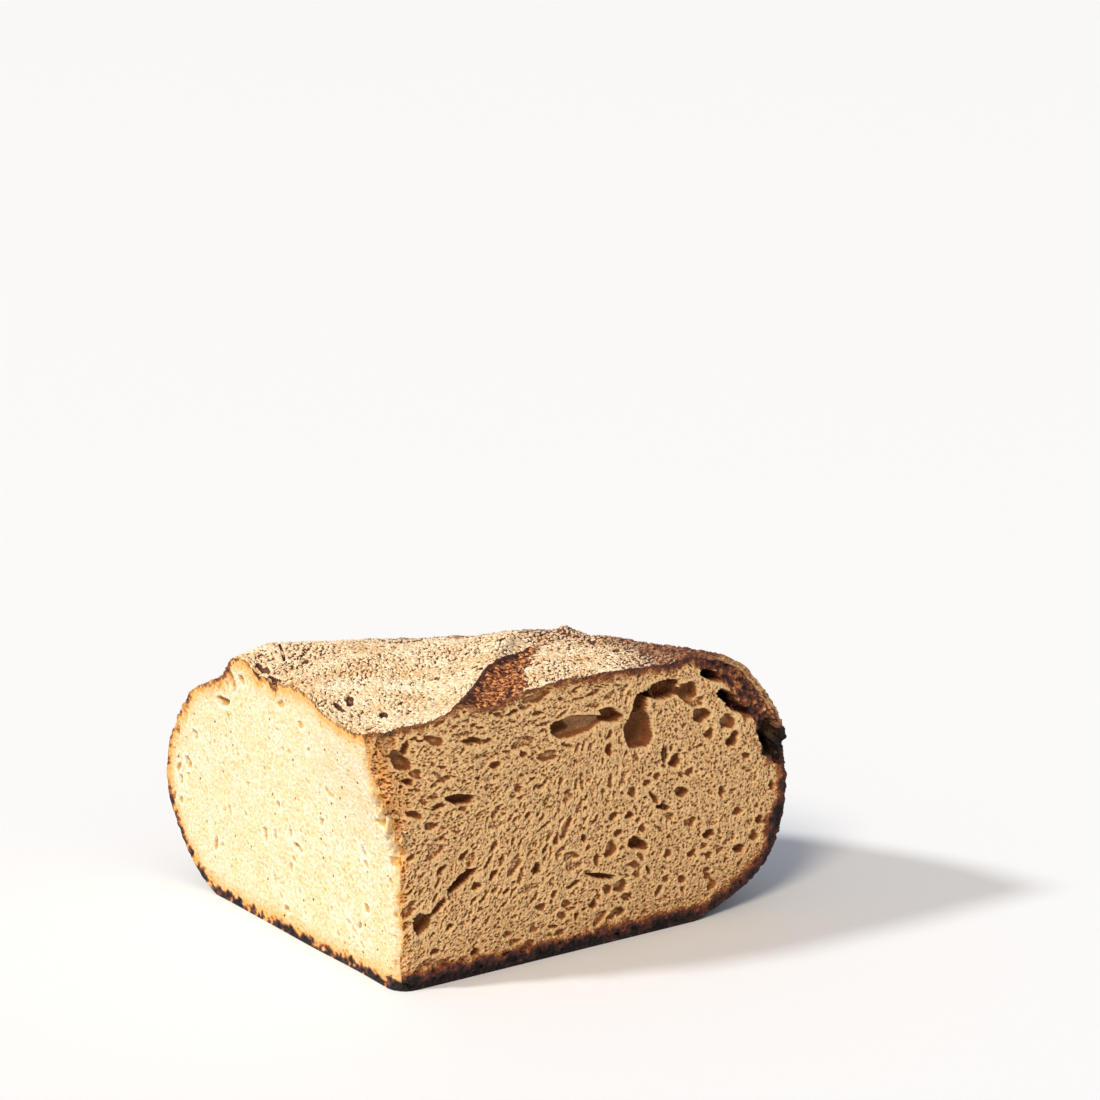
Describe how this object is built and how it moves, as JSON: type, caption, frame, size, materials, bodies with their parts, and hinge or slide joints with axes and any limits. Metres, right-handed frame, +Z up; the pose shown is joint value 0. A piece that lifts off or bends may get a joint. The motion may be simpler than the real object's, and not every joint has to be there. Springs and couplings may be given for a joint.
{
  "type": "quarter of a round sourdough loaf",
  "caption": "Quarter of a large round sourdough loaf, as cut: two open-crumb faces, a floured and slashed domed crust, a rounded side and a flat underside.",
  "frame": {"origin": "middle of the bounding box, at the height of the flat underside", "axes": "+Z up as the loaf rests; +X along the right cut face, from the near edge to the crust; +Y along the left cut face, from the near edge to the crust"},
  "size_m": [0.1498, 0.1358, 0.0859],
  "materials": {
    "bread_crust": "baked wheat crust, matt and rough, floured on top and charred below",
    "bread_crumb": "open, soft wheat crumb with round and slanted pores"
  },
  "bodies": {
    "root": {"loaf": "bread_crust"}
  },
  "joints": []
}
